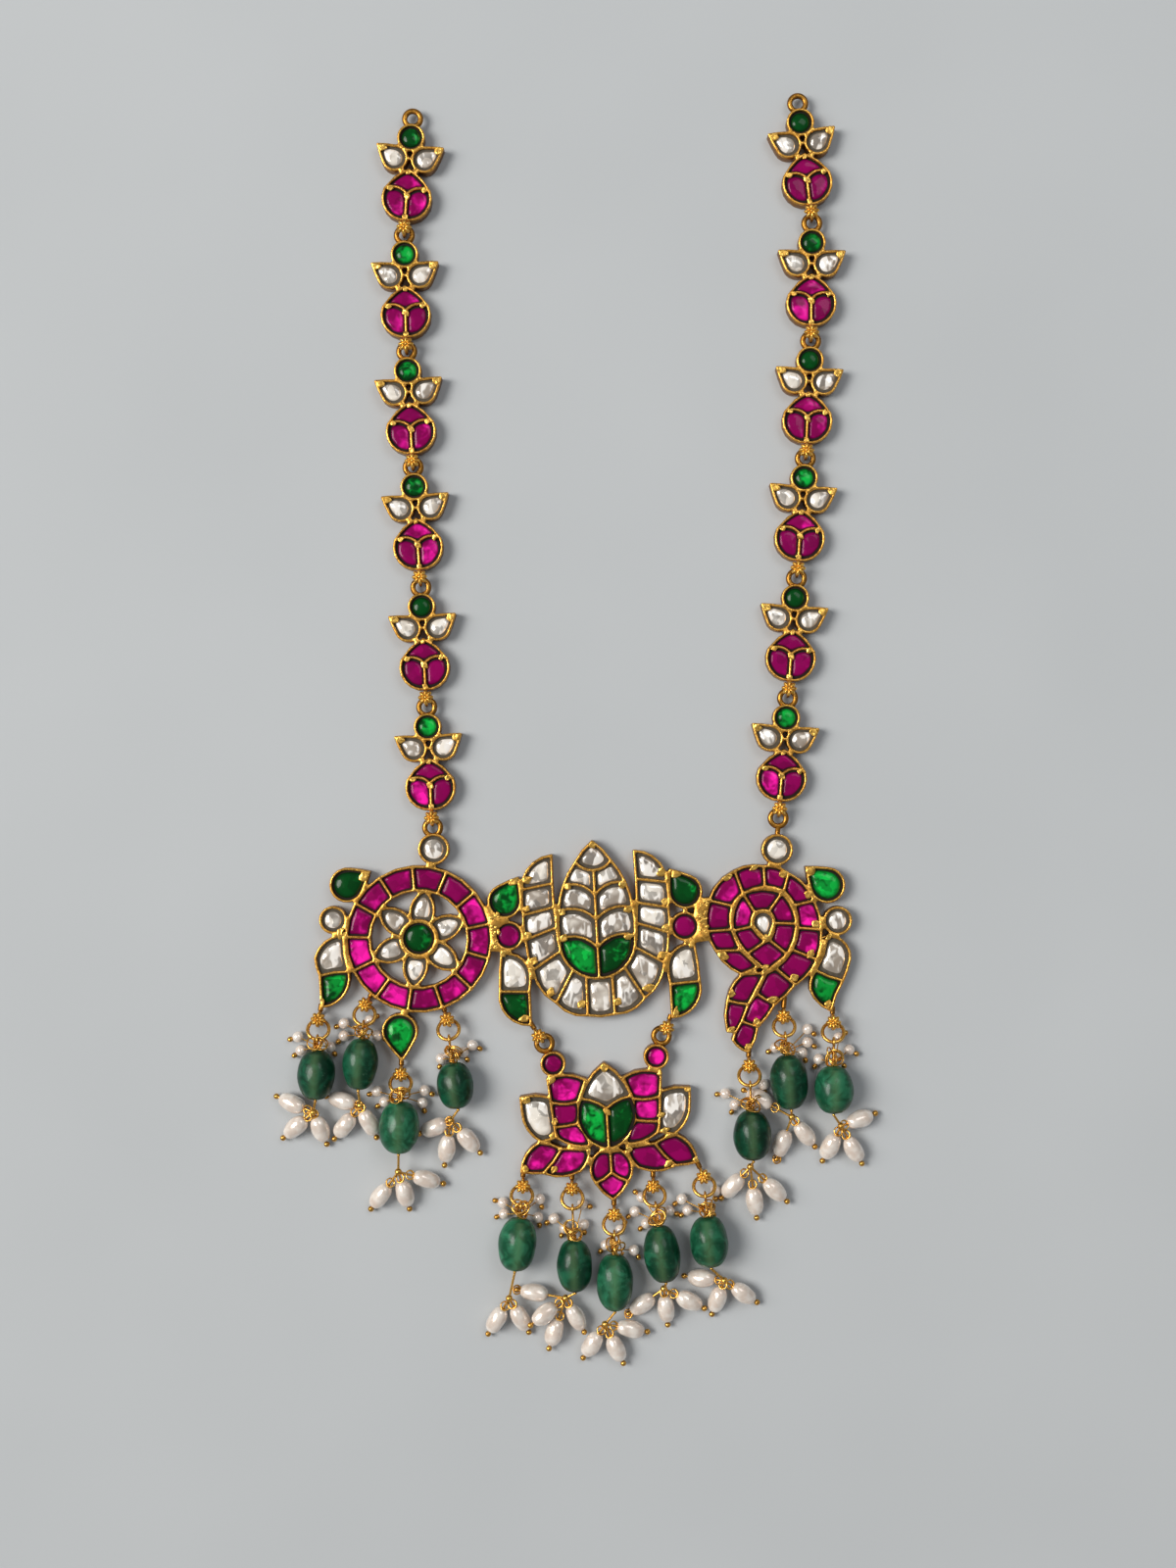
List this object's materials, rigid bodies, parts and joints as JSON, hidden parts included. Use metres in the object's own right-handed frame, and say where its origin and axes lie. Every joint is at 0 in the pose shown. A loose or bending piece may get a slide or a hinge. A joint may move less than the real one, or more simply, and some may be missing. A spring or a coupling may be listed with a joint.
{
  "type": "kundan pendant necklace",
  "caption": "Gold pendant necklace lying flat: chains of stone-set leaf links, a wheel, a band with a leaf, a conch and a lotus, with drops of green beads and rice pearls.",
  "frame": {"origin": "under the middle of the tall central motif, on the plane that the necklace lies on", "axes": "+X to the right as it is seen from above, +Y up the chains towards their free ends, +Z off the table"},
  "size_m": [0.1025, 0.2157, 0.0074],
  "materials": {
    "gold_frame": "satin antique gold plating",
    "gold_wire": "polished gold plating",
    "ruby": "polished, backed with foil",
    "emerald": "polished, backed with foil",
    "polki": "polished, backed with foil",
    "bead": "polished green stone",
    "pearl": "pearl lustre"
  },
  "bodies": {
    "root": {"left_link_1": "gold_frame", "left_link_2": "gold_frame", "left_link_3": "gold_frame", "left_link_4": "gold_frame", "left_link_5": "gold_frame", "left_link_6": "gold_frame", "right_link_1": "gold_frame", "right_link_2": "gold_frame", "right_link_3": "gold_frame", "right_link_4": "gold_frame", "right_link_5": "gold_frame", "right_link_6": "gold_frame", "front_frame": "gold_frame", "lotus_frame": "gold_frame", "left_chain_emeralds": "emerald", "left_chain_polki": "polki", "left_chain_rubies": "ruby", "right_chain_emeralds": "emerald", "right_chain_polki": "polki", "right_chain_rubies": "ruby", "wheel_rubies": "ruby", "wheel_polki": "polki", "wheel_emeralds": "emerald", "mark_polki": "polki", "mark_emeralds": "emerald", "mark_rubies": "ruby", "conch_rubies": "ruby", "conch_polki": "polki", "conch_emerald": "emerald", "lotus_rubies": "ruby", "lotus_polki": "polki", "lotus_emeralds": "emerald", "jump_rings_left": "gold_wire", "drop_wires_left": "gold_wire", "rice_pearls_left": "pearl", "jump_rings_lotus": "gold_wire", "drop_wires_lotus": "gold_wire", "rice_pearls_lotus": "pearl", "jump_rings_right": "gold_wire", "drop_wires_right": "gold_wire", "rice_pearls_right": "pearl", "emerald_bead_1": "bead", "emerald_bead_2": "bead", "emerald_bead_3": "bead", "emerald_bead_4": "bead", "emerald_bead_5": "bead", "emerald_bead_6": "bead", "emerald_bead_7": "bead", "emerald_bead_8": "bead", "emerald_bead_9": "bead", "emerald_bead_10": "bead", "emerald_bead_11": "bead", "emerald_bead_12": "bead"}
  },
  "joints": []
}
